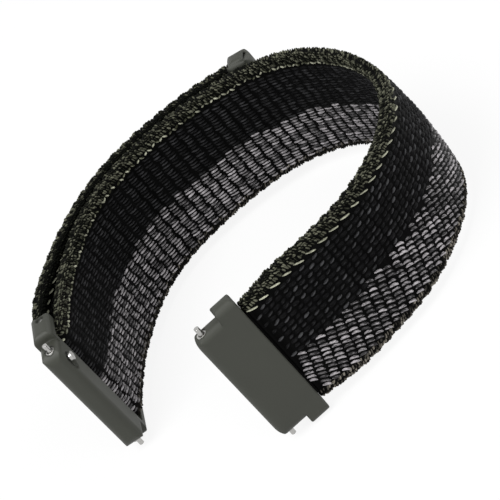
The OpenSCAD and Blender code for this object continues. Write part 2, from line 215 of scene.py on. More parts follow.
class StrapPath:
    """The strap's middle followed from the fixed adapter round the wrist, round the rod and back over the outside."""

    STEP = 0.05
    FOLD_STEPS = 81
    CROWN_RUN = 0.78
    FACE_POWER = 0.55
    RIM_POWER = 0.68
    SCALLOP = 0.3
    SCALLOP_PITCH = 2.25
    SCALLOP_RISE = 0.7
    SCALLOP_FALL = 0.3
    SCALLOP_POWER = 0.8
    SCALLOP_LEVEL = 0.6

    def __init__(self, sizes: StrapSizes, rod: Triple) -> None:
        """Tables the path.

        Args:
            sizes: The strap's sizes.
            rod: Middle of the slide rod in the frame, in millimetres.
        """
        self.sizes = sizes
        self.mid_z = rod[2]
        self.loop = len(sizes.turns) * sizes.stretch + sizes.lead
        self.fold = math.pi * sizes.layer_pitch / 2
        self.back = self.loop + self.fold
        self.end = self.back + sizes.foldback
        self.peel_at = self.end - sizes.peel
        self.tab_at = self.end - sizes.tab_grip
        marks = np.arange(len(sizes.turns) + 1) * sizes.stretch
        bends = np.radians(np.concatenate([[0], np.cumsum(sizes.turns)]))
        s = np.linspace(0, self.loop, round(self.loop / self.STEP) + 1)
        middle_turn = np.interp((s[1:] + s[:-1]) / 2, marks, bends)
        steps = np.diff(s)[:, None] * np.c_[np.cos(middle_turn), np.sin(middle_turn)]
        places = np.concatenate([[[0, 0]], np.cumsum(steps, axis=0)])
        turned = np.interp(s, marks, bends)
        left = np.c_[-np.sin(turned), np.cos(turned)]
        hub = places[-1] - left[-1] * sizes.layer_pitch / 2
        wound = np.linspace(0, self.fold, self.FOLD_STEPS)[1:]
        angle = turned[-1] + math.pi / 2 - wound / self.fold * math.pi
        round_rod = np.c_[np.cos(angle), np.sin(angle)]
        order = np.flatnonzero(s >= self.loop - sizes.foldback - self.STEP)[::-1]
        back_places = (places[order] - left[order] * sizes.layer_pitch)[1:]
        back_q = self.back + (self.loop - s[order])[1:]
        rod_places = hub + round_rod * sizes.layer_pitch / 2
        self._q = np.concatenate([[-sizes.clamp], s, self.loop + wound, back_q])
        self._place = np.concatenate([[[-sizes.clamp, 0]], places, rod_places, back_places])
        self._place = self._place + (np.array(rod[:2]) - hub)
        self._out = np.concatenate([left[:1], left, round_rod, -left[order][1:]])

    def thick(self, q: np.ndarray) -> np.ndarray:
        """Thickness of the strap at distances along it."""
        z = self.sizes
        clamped = (z.thickness - z.clamp_thickness) * (1 - smooth(q, 0, z.clamp))
        folded = (z.thickness - z.fold_thickness) * smooth(q, self.loop - z.squeeze, self.loop)
        return z.thickness - clamped - folded * (1 - smooth(q, self.back, self.back + z.squeeze))

    def point(self, q: np.ndarray, depth: np.ndarray, height: np.ndarray) -> np.ndarray:
        """Places points given in the strap's own terms.

        Args:
            q: Distance along the strap.
            depth: Distance from the strap's middle, towards the wrist on the loop.
            height: Distance above the middle of the strap's width.

        Returns:
            Points in the frame, in millimetres.
        """
        q, depth, height = np.broadcast_arrays(q, depth, height)
        z = self.sizes
        far = 0.5 - height / z.width
        crown = z.settled(q, Stray.CROWN) * np.sin(self.CROWN_RUN * np.pi * far)
        depth = depth - crown + z.settled(q, Stray.LIFT)
        swell = np.where(height > 0, z.settled(q, Stray.UPPER_SWELL), z.settled(q, Stray.FAR_SWELL))
        height = height * (1 + swell / z.half)
        middle, out = ([np.interp(q, self._q, table[:, i]) for i in (0, 1)] for table in (self._place, self._out))
        return np.stack([middle[0] + depth * out[0], middle[1] + depth * out[1], self.mid_z + height], axis=-1)

    def outward(self, q: float) -> Vector:
        """Unit vector away from the strap's middle, on the side that counts as positive depth."""
        return Vector((*(float(np.interp(q, self._q, self._out[:, i])) for i in (0, 1)), 0)).normalized()

    def rim(self, turn: np.ndarray, edge: Edge, swell: np.ndarray | float,
            q: np.ndarray) -> tuple[np.ndarray, np.ndarray]:
        """Points on the rounded, scalloped rim of a bound edge.

        Args:
            turn: Turn round the rim, from 0 on the wrist face to pi on the outside.
            edge: Which edge.
            swell: Distance above the rim's surface.
            q: Distance along the strap.

        Returns:
            Depth and height of the points.
        """
        z = self.sizes
        c, s = np.cos(turn), np.sin(turn)
        depth = (self.thick(q) / 2 + swell) * np.sign(c) * np.abs(c) ** self.FACE_POWER
        saw = q / self.SCALLOP_PITCH % 1
        saw = np.minimum(saw / self.SCALLOP_RISE, (1 - saw) / self.SCALLOP_FALL)
        scallop = self.SCALLOP * (saw**self.SCALLOP_POWER - self.SCALLOP_LEVEL)
        reach = z.edge * s**self.RIM_POWER + (swell + scallop) * s
        return depth, edge.value * (z.edge_from + reach)


@dataclass
class Cloth:
    """Points, faces and yarn coordinates that pile up into one mesh."""

    points: list[np.ndarray] = field(default_factory=list)
    faces: list[np.ndarray] = field(default_factory=list)
    yarn: list[np.ndarray] = field(default_factory=list)
    count: int = 0

    def add(self, points: np.ndarray, faces: np.ndarray, yarn: np.ndarray) -> None:
        """Adds a batch of points.

        Args:
            points: Rows of x, y, z in millimetres.
            faces: Rows of four indices into the batch.
            yarn: Rows of distance along, distance across and tint for each point; the tint carries painted shade too.
        """
        self.points.append(points.reshape(-1, 3))
        self.faces.append(faces.reshape(-1, 4) + self.count)
        self.yarn.append(yarn.reshape(-1, 3))
        self.count += len(self.points[-1])

    def build(self, name: str, material: bpy.types.Material) -> bpy.types.Object:
        """Makes the object.

        Args:
            name: Name of the piece.
            material: Its material.

        Returns:
            The object, in the scene, with smooth faces and the yarn attribute.
        """
        mesh = bpy.data.meshes.new(name)
        points = np.concatenate(self.points) * MM
        mesh.from_pydata(points.tolist(), [], np.concatenate(self.faces).tolist())
        mesh.validate()
        kept = mesh.attributes.new("yarn", "FLOAT_VECTOR", "POINT")
        kept.data.foreach_set("vector", np.concatenate(self.yarn).astype(np.float32).ravel())
        mesh.shade_smooth()
        mesh.materials.append(material)
        piece = bpy.data.objects.new(name, mesh)
        bpy.context.scene.collection.objects.link(piece)
        return piece


class Graph:
    """A node tree, with short ways to add the kinds of node that the finishes share."""

    def __init__(self, tree: bpy.types.NodeTree) -> None:
        """Keeps the tree.

        Args:
            tree: Node tree of a material or a world.
        """
        self.nodes, self.links = tree.nodes, tree.links

    def feed(self, node: bpy.types.Node, inputs: dict) -> bpy.types.NodeOutputs:
        """Joins and sets the inputs of a node.

        Args:
            node: The node.
            inputs: A socket to join or a value to set, by the name or the place of the input.

        Returns:
            The node's outputs.
        """
        for key, given in inputs.items():
            if isinstance(given, Socket):
                self.links.new(given, node.inputs[key])
            else:
                node.inputs[key].default_value = given
        return node.outputs

    def maths(self, operation: str, *values: Socket | float) -> Socket:
        """Adds a Math node.

        Args:
            operation: What it does.
            values: Its inputs in order.

        Returns:
            The result.
        """
        node = self.nodes.new("ShaderNodeMath")
        node.operation = operation
        return self.feed(node, dict(enumerate(values)))[0]

    def own_place(self) -> Socket:
        """Adds the coordinates of the object's own frame."""
        return self.nodes.new("ShaderNodeTexCoord").outputs["Object"]

    def noise(self, scale: float, detail: float, place: Socket) -> Socket:
        """Adds a noise texture.

        Args:
            scale: How fine it is.
            detail: How many finer layers it has.
            place: Where it is read.

        Returns:
            The noise, from 0 to 1.
        """
        inputs = {"Scale": scale, "Detail": detail, "Vector": place}
        return self.feed(self.nodes.new("ShaderNodeTexNoise"), inputs)["Fac"]

    def tone(self, share: Socket, low: Triple, high: Triple) -> Socket:
        """Adds a mix of two colours.

        Args:
            share: Share of the second colour.
            low: The first colour.
            high: The second colour.

        Returns:
            The mixed colour.
        """
        node = self.nodes.new("ShaderNodeMix")
        node.data_type = "RGBA"
        return self.feed(node, {"Factor": share, "A": (*low, 1), "B": (*high, 1)})["Result"]

    def remap(self, value: Socket, low: float, high: float) -> Socket:
        """Adds a node that maps a value from 0 to 1 onto a range.

        Args:
            value: The value.
            low: What 0 becomes.
            high: What 1 becomes.

        Returns:
            The mapped value.
        """
        inputs = {"Value": value, "To Min": low, "To Max": high}
        return self.feed(self.nodes.new("ShaderNodeMapRange"), inputs)["Result"]

    def bump(self, inputs: dict) -> Socket:
        """Adds a Bump node with the given inputs and gives its normal."""
        return self.feed(self.nodes.new("ShaderNodeBump"), inputs)["Normal"]

    def soft_edges(self, radius: float, samples: int) -> Socket:
        """Adds a Bevel node.

        Args:
            radius: Radius of the shaded edges, in millimetres.
            samples: Rays for each point.

        Returns:
            The softened normal.
        """
        node = self.nodes.new("ShaderNodeBevel")
        node.samples = samples
        return self.feed(node, {"Radius": radius * MM})["Normal"]

    def white_rays(self) -> Socket:
        """Adds a value that is 1 for the rays that show the white surround, which are all but the diffuse ones."""
        path = self.nodes.new("ShaderNodeLightPath").outputs
        mirrored = self.maths("MAXIMUM", path["Is Glossy Ray"], path["Is Transmission Ray"])
        return self.maths("MAXIMUM", path["Is Camera Ray"], mirrored)


def start_material(name: str, colour: Triple) -> tuple[bpy.types.Material, bpy.types.Node, Graph]:
    """Starts a node material.

    Args:
        name: Its name.
        colour: Its colour in plain views.

    Returns:
        The material, its shader and its graph.
    """
    mat = bpy.data.materials.new(name)
    mat.use_nodes = True
    mat.diffuse_color = (*colour, 1)
    return mat, mat.node_tree.nodes["Principled BSDF"], Graph(mat.node_tree)


@dataclass(frozen=True)
class YarnFinish:
    """Nylon yarn with fine filaments, streaks along its plies and a tint of its own for every float, which also
    carries painted shade.
    """

    name: str
    dark: Triple
    light: Triple
    roughness: float = 0.5
    specular: float = 0.15
    filaments: float = 14.0
    twist: float = 2.0
    filament_share: float = 0.35
    speck_scale: float = 2600
    bump: float = 0.25
    relief: float = 0.06
    streak: float = 0.9
    streak_length: float = 1.1
    streaks_across: float = 5.5
    streak_scale: float = 1.6

    def build(self) -> bpy.types.Material:
        """Makes the node material."""
        mat, shader, graph = start_material(self.name, self.light)
        yarn = graph.nodes.new("ShaderNodeAttribute")
        yarn.attribute_name = "yarn"
        split = graph.feed(graph.nodes.new("ShaderNodeSeparateXYZ"), {0: yarn.outputs["Vector"]})
        lean = graph.maths("MULTIPLY_ADD", split["X"], self.twist, graph.maths("MULTIPLY", split["Y"], self.filaments))
        specks = graph.noise(self.speck_scale, detail=3, place=graph.own_place())
        height = graph.maths("MULTIPLY_ADD", graph.maths("SINE", lean), self.filament_share, specks)
        streaks = graph.nodes.new("ShaderNodeVectorMath")
        streaks.operation = "MULTIPLY"
        stretched = graph.feed(streaks, {
            0: yarn.outputs["Vector"], 1: (1 / self.streak_length, self.streaks_across, 0),
        })[0]
        plies = graph.noise(self.streak_scale, detail=2, place=stretched)
        centred = graph.maths("MULTIPLY_ADD", plies, self.streak * 2, -self.streak)
        graph.feed(shader, {
            "Base Color": graph.tone(graph.maths("ADD", centred, split["Z"]), self.dark, self.light),
            "Roughness": self.roughness,
            "Specular IOR Level": self.specular,
            "Normal": graph.bump({"Strength": self.bump, "Distance": self.relief * MM, "Height": height}),
        })
        return mat


@dataclass(frozen=True)
class PlasticFinish:
    """Satin moulded plastic with a fine grain and softened edges."""

    name: str
    colour: Triple
    roughness: float = 0.5
    specular: float = 0.3
    grain: float = 0.12
    grain_scale: float = 5200
    relief: float = 0.03
    cloud_scale: float = 160
    cloud: float = 0.12
    gloss_span: Span = (-0.06, 0.08)
    rounding: float = 0.25
    rounding_samples: int = 6

    def build(self) -> bpy.types.Material:
        """Makes the node material."""
        mat, shader, graph = start_material(self.name, self.colour)
        place = graph.own_place()
        grain = graph.noise(self.grain_scale, detail=2, place=place)
        cloud = graph.noise(self.cloud_scale, detail=3, place=place)
        low, high = (tuple(c * (1 + step) for c in self.colour) for step in (-self.cloud, self.cloud))
        soft = graph.soft_edges(self.rounding, self.rounding_samples)
        graph.feed(shader, {
            "Base Color": graph.tone(cloud, low, high),
            "Roughness": graph.remap(cloud, *(self.roughness + step for step in self.gloss_span)),
            "Specular IOR Level": self.specular,
            "Normal": graph.bump({
                "Strength": self.grain, "Distance": self.relief * MM, "Height": grain, "Normal": soft,
            }),
        })
        return mat


@dataclass(frozen=True)
class SteelFinish:
    """Bright stainless steel with fine turning marks."""

    name: str
    colour: Triple
    roughness: float = 0.25
    mark_scale: float = 4200
    mark: float = 0.15
    gloss_span: Span = (-0.08, 0.12)
    rounding: float = 0.08
    rounding_samples: int = 4

    def build(self) -> bpy.types.Material:
        """Makes the node material."""
        mat, shader, graph = start_material(self.name, self.colour)
        marks = graph.noise(self.mark_scale, detail=2, place=graph.own_place())
        graph.feed(shader, {
            "Base Color": graph.tone(marks, tuple(c * (1 - self.mark) for c in self.colour), self.colour),
            "Metallic": 1,
            "Roughness": graph.remap(marks, *(self.roughness + step for step in self.gloss_span)),
            "Normal": graph.soft_edges(self.rounding, self.rounding_samples),
        })
        return mat


@dataclass(frozen=True)
class FloatShape:
    """Size of one float, the length of yarn that shows between two dips into the weave."""

    length: float
    width: float
    height: float
    slant: float = 0.0
    bow: float = 0.0
    along: int = 7
    across: int = 5
    taper: float = 0.45

    def runs(self) -> tuple[np.ndarray, np.ndarray]:
        """Runs from -1 to 1 along and across the float."""
        return np.linspace(-1, 1, self.along)[None, :, None], np.linspace(-1, 1, self.across)[None, None, :]

    def body(self, u: np.ndarray) -> np.ndarray:
        """Share of the full width at runs along the float."""
        return 1 - self.taper + self.taper * np.sqrt(np.clip(1 - u**2, 0, 1))


@dataclass
class Weaver:
    """Lays floats and knots of yarn on one stretch of the strap, with small differences between them."""

    path: StrapPath
    limits: Span
    rng: np.random.Generator
    arch: float = 0.94
    float_ends: float = 2.6
    float_size: float = 0.06
    float_height: float = 0.10
    float_heights: Span = (0.75, 1.1)
    float_lean: float = 0.05
    knot_ends: float = 2.2
    knot_size: float = 0.12
    knot_heights: Span = (0.75, 1.15)
    knot_lean: float = 0.22
    rim_girth: float = 4.6
    side_shade: float = 0.9
    end_shade: float = 0.45
    end_power: int = 3
    tint_power: float = 1.4
    streak_shift: float = 60.0

    def drawn(self, middle: float, spread: float, count: int) -> np.ndarray:
        """Draws a value for each float, shaped to spread over its points.

        Args:
            middle: The usual value.
            spread: How much the values differ.
            count: Number of floats.

        Returns:
            The values.
        """
        return (middle + self.rng.normal(0, spread, count))[:, None, None]

    def crest(self, u: np.ndarray, v: np.ndarray, ends: float) -> np.ndarray:
        """Share of the full height at runs along and across a float, the fuller the higher the ends' power."""
        return (1 - np.abs(u) ** ends) * np.sqrt(np.clip(1 - v**2 * self.arch, 0, 1))

    def lay(self, cloth: Cloth, shape: FloatShape, points: np.ndarray, along: np.ndarray, across: np.ndarray,
            tint: Span, dim: np.ndarray | float, flip: bool) -> None:
        """Gives a batch of floats their tints, most of them nearer the dark end, darkens their sides and ends with
        painted shade, and adds them to a mesh.

        Args:
            cloth: Mesh that they join.
            shape: Their size.
            points: Their points in the frame.
            along: Distance of the points along their yarn.
            across: Distance of the points across their yarn.
            tint: Darkest and lightest tint.
            dim: How much darker each float is; on the knots this holds the painted shade in the groove between the
                layers and the darker wrist-side turns of the far edge.
            flip: Whether the faces look the other way.
        """
        n = len(points)
        u, v = shape.runs()
        shift = self.rng.uniform(0, self.streak_shift, n)[:, None, None]
        own = self.rng.uniform(0, 1, n)[:, None, None] ** self.tint_power
        base = tint[0] + (tint[1] - tint[0]) * own
        # Painted shade: each float's tint falls off towards its sides and ends, standing in for the shade where the
        # yarn dips into the weave.
        shade = base - dim - self.side_shade * v**2 - self.end_shade * np.abs(u) ** self.end_power
        i, j = np.meshgrid(np.arange(shape.along - 1), np.arange(shape.across - 1), indexing="ij")
        a = (i * shape.across + j).ravel()
        quad = np.c_[a, a + shape.across, a + shape.across + 1, a + 1]
        if flip:
            quad = quad[:, ::-1]
        faces = quad[None] + (np.arange(n) * shape.along * shape.across)[:, None, None]
        cloth.add(points, faces, np.stack(np.broadcast_arrays(along + shift, across, shade), axis=-1))

    def floats(self, cloth: Cloth, side: Side, shape: FloatShape, q0: np.ndarray, z0: np.ndarray, tint: Span) -> None:
        """Lays floats on one face of the strap.

        Args:
            cloth: Mesh that they join.
            side: Face of the strap.
            shape: Their size.
            q0: Middle of each float along the strap.
            z0: Middle of each float across the strap.
            tint: Darkest and lightest tint.
        """
        n = len(q0)
        u, v = shape.runs()
        grow = self.drawn(1, self.float_size, n)
        tall = self.drawn(1, self.float_height, n).clip(*self.float_heights)
        lean = self.drawn(math.radians(shape.slant), self.float_lean, n)
        along = u * shape.length / 2 * grow
        across = v * shape.width / 2 * shape.body(u) + shape.bow * (1 - u**2)
        q = q0[:, None, None] + along * np.cos(lean) - across * np.sin(lean)
        q = np.clip(q, *self.limits)
        z = z0[:, None, None] + along * np.sin(lean) + across * np.cos(lean)
        depth = self.path.thick(q) / 2 - shape.height + shape.height * tall * self.crest(u, v, self.float_ends)
        points = self.path.point(q, side.value * depth, z)
        self.lay(cloth, shape, points, along, across, tint, 0.0, side is Side.WRIST)

    def knots(self, cloth: Cloth, edge: Edge, shape: FloatShape, q0: np.ndarray, turn0: np.ndarray, tint: Span,
              dim: np.ndarray) -> None:
        """Lays small humps of knitted yarn round a bound edge.

        Args:
            cloth: Mesh that they join.
            edge: Which edge.
            shape: Their size, its length runs round the rim.
            q0: Middle of each hump along the strap.
            turn0: Middle of each hump round the rim.
            tint: Darkest and lightest tint.
            dim: How much darker each hump is, including painted shade in the groove between the layers.
        """
        n = len(q0)
        u, v = shape.runs()
        lean = self.drawn(math.radians(shape.slant), self.knot_lean, n)
        size = self.drawn(1, self.knot_size, n)
        along = u * shape.length / 2 * size
        across = v * shape.width / 2 * shape.body(u) * size
        round_rim = along * np.cos(lean) - across * np.sin(lean)
        turn = np.clip(turn0[:, None, None] + round_rim / self.rim_girth * math.pi, 0.0, math.pi)
        q = np.clip(q0[:, None, None] + (along * np.sin(lean) + across * np.cos(lean)), *self.limits)
        tall = self.rng.uniform(*self.knot_heights, n)[:, None, None]
        swell = shape.height * (self.crest(u, v, self.knot_ends) * tall - 1)
        points = self.path.point(q, *self.path.rim(turn, edge, swell, q))
        self.lay(cloth, shape, points, along, across, tint, dim[:, None, None], edge is Edge.FAR)


@dataclass(frozen=True)
class Rows:
    """How the floats of a face stand: rows along the strap, columns across it and a small scatter."""

    pitch: float
    column: float
    scatter: float
    stagger: float = 0.0
    margin: float = 0.4

    def middles(self, weaver: Weaver, lowest: float, highest: float) -> tuple[np.ndarray, np.ndarray]:
        """Middles of the floats on one stretch.

        Args:
            weaver: Weaver of the stretch.
            lowest: Height of the lowest column.
            highest: Height that the columns stay below.

        Returns:
            Distances along the strap and heights.
        """
        start, end = weaver.limits
        rows = np.arange(math.floor(start / self.pitch), end / self.pitch)
        columns = np.arange(lowest, highest, self.column)
        r, c = np.meshgrid(rows, np.arange(len(columns)), indexing="ij")
        q = ((r + self.stagger * c % 1) * self.pitch).ravel()
        kept = (q > start + self.margin) & (q < end - self.margin)
        q = q[kept]
        return q + weaver.rng.normal(0, self.scatter, len(q)), columns[c].ravel()[kept]


@dataclass
class Strap:
    """The woven strap: ground weave, floats on both faces, knitted edges and the accent yarn.

    Lengths are in millimetres. A tint holds its darkest and its lightest value.
    """

    path: StrapPath
    finishes: dict[str, bpy.types.Material]
    wrist: FloatShape = FloatShape(length=1.8, width=0.46, height=0.38, slant=6, taper=0.5)
    wrist_rows: Rows = Rows(pitch=1.8, column=0.57, scatter=0.07)
    wrist_ripple: Span = (0.12, 2.1)
    wrist_black_tint: Span = (0.1, 0.55)
    wrist_grey_tint: Span = (0.2, 1.05)
    grey_out: FloatShape = FloatShape(length=1.9, width=0.56, height=0.46, slant=-28, bow=0.3, taper=0.8)
    grey_rows: Rows = Rows(pitch=1.7, column=0.68, scatter=0.08, stagger=0.12)
    black_out: FloatShape = FloatShape(length=1.25, width=0.5, height=0.34, slant=12, taper=0.7)
    black_rows: Rows = Rows(pitch=2.5, column=0.84, scatter=0.1, stagger=0.5)
    out_tint: Span = (0.1, 1.0)
    fill: FloatShape = FloatShape(length=1.5, width=0.7, height=0.36)
    fill_tint: Span = (-0.1, 0.25)
    column_drop: float = 0.2
    grey_drop: float = 0.1
    grey_top: float = 1.2
    black_bottom: float = -4.0
    colour_line: float = -0.8
    colour_gap: float = 0.4
    line_waves: tuple[Triple, ...] = ((0.3, 0.37, 0.0), (0.25, 1.13, 1.0))
    line_shift: float = 1.0
    line_drop: float = 1.6
    line_drop_run: Span = (-10, 60)
    knot: FloatShape = FloatShape(length=0.8, width=0.36, height=0.34, slant=35, along=5, across=4, taper=0.4)
    knot_pitch: float = 0.46
    knot_rows: Span = (0.25, 0.2)
    knot_end: float = 0.1
    knots_round: int = 8
    knot_turn_from: float = 0.10
    knot_scatter: Span = (0.09, 0.06)
    knot_tint: Span = (0.1, 1.2)
    # Painted shade in the groove between the layers: how much darker, the turns round the rim where it sets in, and
    # the run over which it fades in.
    groove_painted_shade: float = 0.9
    groove_turn: Span = (1.5, 2.5)
    groove_lead: float = 2.0
    far_dim: float = 0.3
    far_turn: Span = (1.2, 2.0)
    dash: FloatShape = FloatShape(length=2.1, width=0.34, height=0.38, slant=-19)
    dash_pitch: float = 2.25
    dash_inset: float = 1.1
    dash_tint: Span = (0.7, 1.3)
    zig: FloatShape = FloatShape(length=1.0, width=0.42, height=0.36, slant=34, taper=0.7)
    zig_tint: Span = (0.2, 1.2)
    zag: FloatShape = FloatShape(length=0.85, width=0.38, height=0.34, slant=-26, taper=0.7)
    zag_tint: Span = (0.1, 1.0)
    zigzag_pitch: float = 1.7
    zigzag_inset: float = 0.7
    zigzag_scatter: Span = (0.18, 0.11)
    ground_sunk: float = -0.24
    ground_step: float = 0.75
    ground_margin: float = 0.3
    ground_rim: int = 10
    ground_face: int = 9
    ground_tint: float = 0.3
    tongue_gap: Span = (0.01, 0.02)
    tongue_end: float = 0.3
    adapter_gap: float = 0.05
    loop_overrun: float = 3.0
    weave_seed: int = 7
    edge_seed: int = 27
    edge_seed_step: int = 5
    accent_seed: int = 47

    def ranges(self, layer: Layer) -> Span:
        """Where a layer starts and ends along the strap."""
        split = self.path.back + self.loop_overrun
        return (self.adapter_gap, split) if layer is Layer.LOOP else (split, self.path.end)

    def boundary(self, q: np.ndarray) -> np.ndarray:
        """Height of the line between black and grey on the wrist face, which steps a little from row to row."""
        return sum((size * np.sin(q * rate + start) for size, rate, start in self.line_waves), self.colour_line)

    def outside_boundary(self, q: np.ndarray) -> np.ndarray:
        """Height of the line between black and grey on the outside, which starts lower beside the fixed adapter."""
        return self.boundary(q + self.line_shift) - self.line_drop * (1 - smooth(q, *self.line_drop_run))

    def ground(self, layer: Layer) -> Cloth:
        """The near-black weave under the floats, as one closed skin, partly the strap's own dark core and partly
        painted shade in the gaps between floats.

        Args:
            layer: Stretch of the strap.

        Returns:
            The skin, with the strap's clamped end on the loop.
        """
        first, last = self.ranges(layer)
        stations = np.arange(first, last, self.ground_step)
        q = np.append(stations[stations < last - self.ground_margin], last)[:, None]
        turn = np.linspace(0, math.pi, self.ground_rim)[None, :]
        upper, upper_z = self.path.rim(turn, Edge.UPPER, self.ground_sunk, q)
        far, far_z = self.path.rim(turn[:, ::-1], Edge.FAR, self.ground_sunk, q)
        across = np.linspace(1, -1, self.ground_face)[None, 1:-1] * self.path.sizes.edge_from
        face = np.broadcast_to(self.path.thick(q) / 2 + self.ground_sunk, (len(q), across.size))
        heights = [np.broadcast_to(part, (len(q), part.shape[1])) for part in (upper_z, across, far_z, -across)]
        ring = (np.concatenate(parts, axis=1) for parts in ([upper, -face, far, face], heights))
        depth, height = (np.roll(part, -(self.ground_rim // 2), axis=1) for part in ring)
        points = self.path.point(q, depth, height)
        m, n = points.shape[:2]
        k = np.arange(n // 2 - 1)
        cap = np.c_[k, n - 1 - k, n - 2 - k, k + 1]
        faces = np.concatenate([sleeve(m, n), cap, (cap + (m - 1) * n)[:, ::-1]])
        cloth = Cloth()
        cloth.add(points, faces, np.stack(np.broadcast_arrays(q, depth, self.ground_tint), axis=-1))
        if layer is Layer.LOOP:
            self.tongue(cloth)
        return cloth

    def tongue(self, cloth: Cloth) -> None:
        """Adds the strap's end that lies inside the fixed adapter.

        Args:
            cloth: Skin that it joins.
        """
        z = self.path.sizes
        deep, half = z.clamp_thickness / 2 - self.tongue_gap[0], z.edge_from - self.tongue_gap[1]
        q = np.array([[-z.clamp + self.tongue_gap[1]], [self.tongue_end]])
        points = self.path.point(q, np.array([[-deep, deep, deep, -deep]]), np.array([[-half, -half, half, half]]))
        cloth.add(points, bar(2), np.zeros_like(points))

    def weave(self, layer: Layer) -> dict[str, Cloth]:
        """The floats of both faces.

        Args:
            layer: Stretch of the strap.

        Returns:
            The black and the grey floats.
        """
        rng = np.random.default_rng(self.weave_seed + (layer is Layer.FOLDBACK))
        weaver = Weaver(self.path, self.ranges(layer), rng)
        z = self.path.sizes
        black, grey = Cloth(), Cloth()
        q, c = self.wrist_rows.middles(weaver, -z.edge_from - self.column_drop, z.edge_from - self.column_drop)
        q = q + self.wrist_ripple[0] * np.sin(c * self.wrist_ripple[1])
        high = c > self.boundary(np.round(q / self.wrist_rows.pitch) * self.wrist_rows.pitch)
        shown = high & (c < z.accent_from)
        weaver.floats(black, Side.WRIST, self.wrist, q[shown], c[shown], self.wrist_black_tint)
        weaver.floats(grey, Side.WRIST, self.wrist, q[~high], c[~high], self.wrist_grey_tint)
        q, c = self.grey_rows.middles(weaver, -z.edge_from - self.grey_drop, self.grey_top)
        low = c < self.outside_boundary(q)
        weaver.floats(grey, Side.OUTSIDE, self.grey_out, q[low], c[low], self.out_tint)
        q, c = self.black_rows.middles(weaver, self.black_bottom, z.accent_from - self.column_drop)
        high = c > self.outside_boundary(q) + self.colour_gap
        q, c = q[high], c[high]
        weaver.floats(black, Side.OUTSIDE, self.black_out, q, c, self.out_tint)
        weaver.floats(black, Side.OUTSIDE, self.fill, q + self.black_rows.pitch / 2, c, self.fill_tint)
        return {"black": black, "grey": grey}

    def edge(self, layer: Layer, edge: Edge) -> Cloth:
        """The knitted yarn round one bound edge, darkened with painted shade in the groove between the layers.

        Args:
            layer: Stretch of the strap.
            edge: Which edge.

        Returns:
            The humps of yarn.
        """
        rng = np.random.default_rng(self.edge_seed + edge.value + self.edge_seed_step * (layer is Layer.FOLDBACK))
        weaver = Weaver(self.path, self.ranges(layer), rng)
        start, end = weaver.limits
        rows = np.arange(start + self.knot_rows[0], end - self.knot_rows[1], self.knot_pitch)
        around = np.linspace(self.knot_turn_from, math.pi - self.knot_turn_from, self.knots_round)
        q, turn = np.meshgrid(rows, around, indexing="ij")
        stagger = self.knot_pitch / 2 * (np.arange(self.knots_round) % 2)[None, :]
        q = (q + stagger + rng.normal(0, self.knot_scatter[0], q.shape)).ravel()
        turn = (turn + rng.normal(0, self.knot_scatter[1], turn.shape)).ravel()
        kept = (q > start + self.knot_end) & (q < end - self.knot_end)
        q, turn = q[kept], turn[kept]
        covered = self.path.loop - self.path.sizes.foldback
        # Painted shade: humps deep in the groove between the loop and the fold-back get a darker tint.
        dim = self.groove_painted_shade * smooth(q, covered - self.groove_lead, covered) * smooth(turn, *self.groove_turn)
        if edge is Edge.FAR:
            dim = dim + self.far_dim * (1 - smooth(turn, *self.far_turn))
        cloth = Cloth()
        weaver.knots(cloth, edge, self.knot, q, turn, self.knot_tint, dim)
        return cloth

    def accents(self, layer: Layer) -> Cloth:
        """The bright yarn beside the upper edge: a zigzag on the wrist face and slanted dashes on the outside.

        Args:
            layer: Stretch of the strap.

        Returns:
            The yarn.
        """
        rng = np.random.default_rng(self.accent_seed + (layer is Layer.FOLDBACK))
        start, end = self.ranges(layer)
        if layer is Layer.FOLDBACK:
            end = self.path.tab_at
        weaver = Weaver(self.path, (start, end), rng)
        line = self.path.sizes.accent_from + self.path.sizes.accent / 2
        rows = np.arange(start + self.zigzag_inset, end - self.zigzag_inset, self.zigzag_pitch)
        rows = rows + rng.normal(0, self.zigzag_scatter[0], len(rows))
        heights = line + rng.normal(0, self.zigzag_scatter[1], len(rows))
        cloth = Cloth()
        weaver.floats(cloth, Side.WRIST, self.zig, rows, heights, self.zig_tint)
        weaver.floats(cloth, Side.WRIST, self.zag, rows + self.zigzag_pitch / 2, heights, self.zag_tint)
        dashes = np.arange(start + self.dash_inset, end - self.dash_inset, self.dash_pitch)
        weaver.floats(cloth, Side.OUTSIDE, self.dash, dashes, np.full(len(dashes), line), self.dash_tint)
        return cloth

    def build(self) -> None:
        """Makes, carries and dresses every piece of the strap."""
        replaced = {
            Layer.LOOP: {
                "ground": ["strap_core"], "black": ["strap_black_wrist", "strap_black_outside"],
                "grey": ["strap_grey_wrist", "strap_grey_outside"], "green_edge": ["strap_green_edge"],
                "far_edge": ["strap_far_edge"], "accent": ["strap_accent_yarn"],
            },
            Layer.FOLDBACK: {
                "ground": ["free_core"], "black": ["free_black_faces"], "grey": ["free_grey_faces"],
                "green_edge": ["free_green_edge"], "far_edge": ["free_far_edge"], "accent": ["free_accent_yarn"],
            },
        }
        slots = {"ground": "core_yarn", "black": "black_yarn", "grey": "grey_yarn", "green_edge": "green_edge_yarn",
                 "far_edge": "far_edge_yarn", "accent": "accent_yarn"}
        peel_at = self.path.peel_at
        out = self.path.outward(peel_at)
        peel = Vector(self.path.point(peel_at, float(self.path.thick(peel_at)) / 2, 0.0)) * MM
        for layer in Layer:
            cloths = {"ground": self.ground(layer), **self.weave(layer), "green_edge": self.edge(layer, Edge.UPPER),
                      "far_edge": self.edge(layer, Edge.FAR), "accent": self.accents(layer)}
            for part, cloth in cloths.items():
                piece = cloth.build(f"{part}_{layer.value}", self.finishes[slots[part]])
                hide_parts(*replaced[layer][part])
                if layer is Layer.LOOP:
                    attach(piece, "band")
                else:
                    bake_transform(piece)
                log.info("%s: %d faces", piece.name, len(piece.data.polygons))


